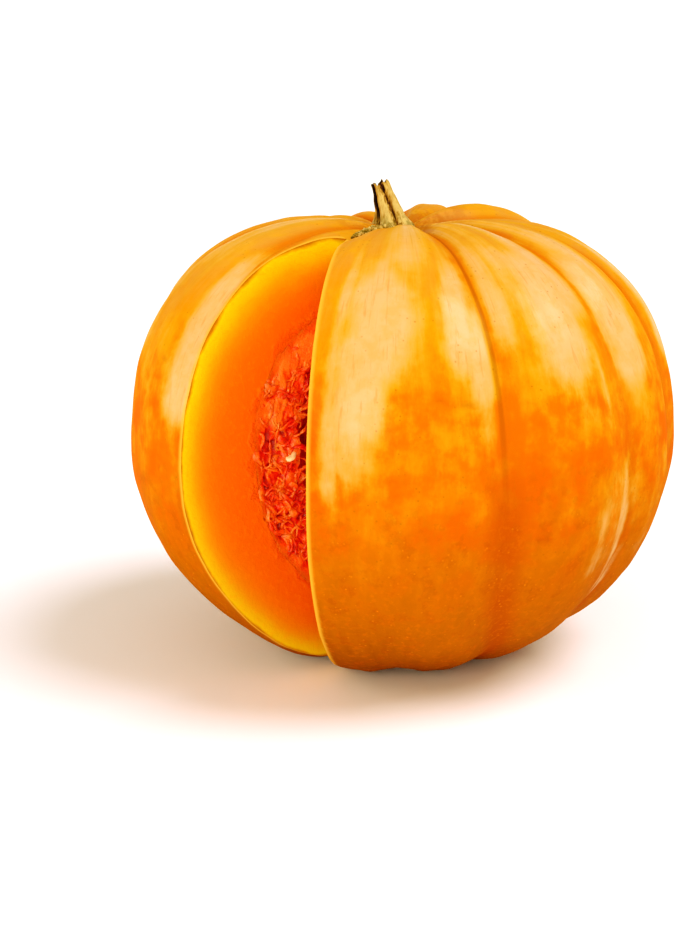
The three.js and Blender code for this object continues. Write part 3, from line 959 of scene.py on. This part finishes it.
def stem_finish():
    """Dry woody stub: pale straw ridges, dark brown grooves that are partly painted shade, and some
    green left at the foot.
    """
    finish = Finish("stem")
    ridge = finish.attribute("stem_ridge")
    height = (finish.height() - STEM_FLOOR) / STEM_HEIGHT
    fibres = finish.speckle(1.0, 4.0, 0.65, stretch=(1500.0, 1500.0, 200.0)).rise(0.3, 0.7)
    patches = finish.speckle(1.0, 3.0, 0.6, stretch=(420.0, 420.0, 150.0)).rise(0.36, 0.64)
    # Darker in the grooves and wrinkles: partly the stem's own brown, partly painted shade.
    level = ridge * 0.4 + 0.62 + (fibres - 0.5) * 0.5 + (patches - 0.5) * 0.3
    level = level - height.rise(0.4, 1.1) * 0.25
    colour = finish.ramp(
        level, (0.0, tint(34, 18, 6)), (0.24, tint(88, 50, 16)), (0.42, tint(166, 114, 44)),
        (0.62, tint(214, 166, 84)), (1.0, tint(238, 206, 136)))
    green = patches.rise(0.8, 0.3) * height.rise(0.35, -0.05)
    colour = finish.blend(colour, tint(128, 108, 18), green * 0.7)
    relief = fibres * 0.8 + patches * 0.4 + ridge * 0.2
    return finish.surface(
        Base_Color=colour, Roughness=0.8 + fibres * 0.15, Normal=finish.bump(relief, 0.0006),
        Specular_IOR_Level=0.2)


stem = finished_piece("stem_stub", stem_body, stem_finish())
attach(stem, "root")
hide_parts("stem")


# ------------------------ the seeds
# Flat cream seeds with a raised rim and one pointed end. They lie half sunk in the pulp, wet with
# its juice. One of them sticks out where the left cut went past it.

SEED_HALF_LENGTH = 0.0085
SEED_HALF_WIDTH = 0.0045
SEED_RIM_HEIGHT = 0.00022
SEED_RIM = 0.86    # how far out the rim lies, as a share of the seed
SEED_GROOVE = 0.68
SEED_RIM_WIDTH = 0.1


def seed_mesh(name):
    """A smooth seed on the CAD seed's own axes, with its rim raised."""
    body = bmesh.new()
    body.from_mesh(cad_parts[name].data)
    bmesh.ops.remove_doubles(body, verts=body.verts, dist=1e-6)
    corners = numpy.array([vert.co for vert in body.verts])
    middle = corners.mean(axis=0)
    _, axes = numpy.linalg.eigh(numpy.cov((corners - middle).T))
    flat, wide, long = (Vector(axes[:, index]) for index in range(3))
    middle = Vector(middle)
    for _ in range(2):
        bmesh.ops.subdivide_edges(body, edges=body.edges, cuts=1, use_grid_fill=True, smooth=1.0)
    for vert in body.verts:
        offset = vert.co - middle
        out = math.hypot(offset.dot(long) / SEED_HALF_LENGTH, offset.dot(wide) / SEED_HALF_WIDTH)
        rim = math.exp(-(((out - SEED_RIM) / SEED_RIM_WIDTH) ** 2))
        groove = 0.7 * math.exp(-(((out - SEED_GROOVE) / SEED_RIM_WIDTH) ** 2))
        side = math.copysign(1.0, offset.dot(flat))
        vert.co += flat * side * SEED_RIM_HEIGHT * (rim - groove)
    return body


def seed_finish():
    """Cream seed coat, a little orange where juice has dried on it."""
    finish = Finish("seed")
    cloudy = finish.speckle(140.0, 4.0)
    fine = finish.speckle(900.0, 2.0)
    colour = finish.layered(
        tint(246, 226, 176), (tint(238, 178, 96), cloudy.rise(0.45, 0.75) * 0.7),
        (tint(255, 244, 214), fine.rise(0.55, 0.8) * 0.5))
    return finish.surface(
        Base_Color=colour, Roughness=0.35 + cloudy * 0.15, Normal=finish.bump(fine, 0.0002),
        Coat_Weight=0.4, Coat_Roughness=0.15, Subsurface_Weight=0.2,
        Subsurface_Radius=(0.003, 0.002, 0.001), Subsurface_Scale=0.5)


seed_coat = seed_finish()
for name in SEED_NODES:
    seed = finished_piece(f"{name}_ripe", seed_mesh(name), seed_coat)
    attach(seed, "root")
    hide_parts(name)


# ------------------------ the view
# The camera stands in front of the fruit, a little above its top, and looks slightly down at it.
# The picture is upright, and the fruit stands right of its middle.

VIEW_ELEVATION = 14.2
VIEW_DISTANCE = 0.85
LENS = 68.3    # millimetres, as the sensor
SENSOR = 36.0
LONG_SIDE_PIXELS = 925
SHORT_SIDE_PIXELS = 679
FRUIT_AXIS_COLUMN = 400.0
WIDEST_LEVEL_ROW = 436.8

elevation = math.radians(VIEW_ELEVATION)
backwards = Vector((0.0, -math.cos(elevation), math.sin(elevation)))
upwards = Vector((0.0, math.sin(elevation), math.cos(elevation)))
fruit_middle = Vector((0.0, 0.0, WIDEST_LEVEL))
metres_per_pixel = VIEW_DISTANCE * SENSOR / (LENS * LONG_SIDE_PIXELS)
aim = fruit_middle
aim = aim + Vector((1.0, 0.0, 0.0)) * (SHORT_SIDE_PIXELS / 2.0 - FRUIT_AXIS_COLUMN) * metres_per_pixel
aim = aim - upwards * (LONG_SIDE_PIXELS / 2.0 - WIDEST_LEVEL_ROW) * metres_per_pixel
camera = bpy.data.objects.new("camera", bpy.data.cameras.new("camera"))
camera.data.lens = LENS
camera.data.sensor_width = SENSOR
camera.location = fruit_middle + backwards * VIEW_DISTANCE
camera.rotation_mode = "QUATERNION"
camera.rotation_quaternion = (aim - camera.location).to_track_quat("-Z", "Y")
bpy.context.collection.objects.link(camera)
bpy.context.scene.camera = camera


# ------------------------ the studio
# A white floor that runs far back to a round, faintly lit white backdrop, a pale warm sky, a
# broad sun from the right, and two softboxes. The far floor glows a little, which fills the
# backdrop's own shadow.

FLOOR_REACH = 150.0
BACKDROP_RADIUS = 19.5
BACKDROP_HEIGHT = 5.2
SOFTBOX_LIGHT = (1.0, 0.93, 0.84)

floor_body = bmesh.new()
bmesh.ops.create_grid(floor_body, x_segments=1, y_segments=1, size=FLOOR_REACH)
floor_finish = Finish("floor")
from_fruit = floor_finish.vector("LENGTH", floor_finish.place, output="Value")
white_floor = floor_finish.surface(
    Base_Color=(0.96, 0.93, 0.94, 1.0), Roughness=0.9, Specular_IOR_Level=0.0,
    Emission_Color=from_fruit.rise(8.0, 13.0), Emission_Strength=0.35)
floor = finished_piece("floor", floor_body, white_floor)

backdrop_body = bmesh.new()
bmesh.ops.create_cone(
    backdrop_body, cap_ends=False, segments=128, radius1=BACKDROP_RADIUS, radius2=BACKDROP_RADIUS,
    depth=BACKDROP_HEIGHT, matrix=Matrix.Translation((0.0, 0.0, BACKDROP_HEIGHT / 2.0)))
bmesh.ops.reverse_faces(backdrop_body, faces=backdrop_body.faces)
backdrop_finish = Finish("backdrop")
lit_backdrop = backdrop_finish.surface(
    Base_Color=(0.9, 0.9, 0.9, 1.0), Roughness=0.9, Specular_IOR_Level=0.0,
    Emission_Color=(1.0, 0.97, 0.95, 1.0), Emission_Strength=0.5)
backdrop = finished_piece("backdrop", backdrop_body, lit_backdrop)


def soft_light(name, place, size, power):
    """A softbox that faces the fruit, with its width and height in metres and its power in watts."""
    lamp = bpy.data.lights.new(name, "AREA")
    lamp.shape = "RECTANGLE"
    lamp.size, lamp.size_y = size
    lamp.energy = power
    lamp.color = SOFTBOX_LIGHT
    light = bpy.data.objects.new(name, lamp)
    light.location = place
    light.rotation_mode = "QUATERNION"
    light.rotation_quaternion = (fruit_middle - light.location).to_track_quat("-Z", "Y")
    bpy.context.collection.objects.link(light)


left_place = Vector((-1.15, -0.35, 0.6))
front_place = heading(-15.0) * 1.15 + Vector((0.0, 0.0, 0.42))
soft_light("left_softbox", left_place, size=(0.5, 0.9), power=4.7)
soft_light("front_softbox", front_place, size=(0.5, 0.5), power=4.6)

sun = bpy.data.objects.new("overhead", bpy.data.lights.new("overhead", "SUN"))
sun.data.energy = 2.58
sun.data.angle = math.radians(36)
sun.rotation_euler = (math.radians(4), math.radians(35), 0.0)
bpy.context.collection.objects.link(sun)

sky = bpy.data.worlds.new("sky")
sky.use_nodes = True
sky_light = sky.node_tree.nodes["Background"].inputs
sky_light["Color"].default_value = (1.0, 0.94, 0.9, 1.0)
sky_light["Strength"].default_value = 0.49
bpy.context.scene.world = sky

# The picture is developed as a studio picture is, with more contrast in the dark tones, and with a
# little less blue in the middle ones
development = bpy.context.scene.view_settings
development.view_transform = "Standard"
development.use_curve_mapping = True
_, _, blues, tones = development.curve_mapping.curves
for darker, shown in ((0.02, 0.006), (0.05, 0.026), (0.15, 0.125), (0.4, 0.4)):
    tones.points.new(darker, shown)
for bluer, shown in ((0.1, 0.076), (0.25, 0.185), (0.5, 0.42), (0.8, 0.77)):
    blues.points.new(bluer, shown)
development.curve_mapping.update()
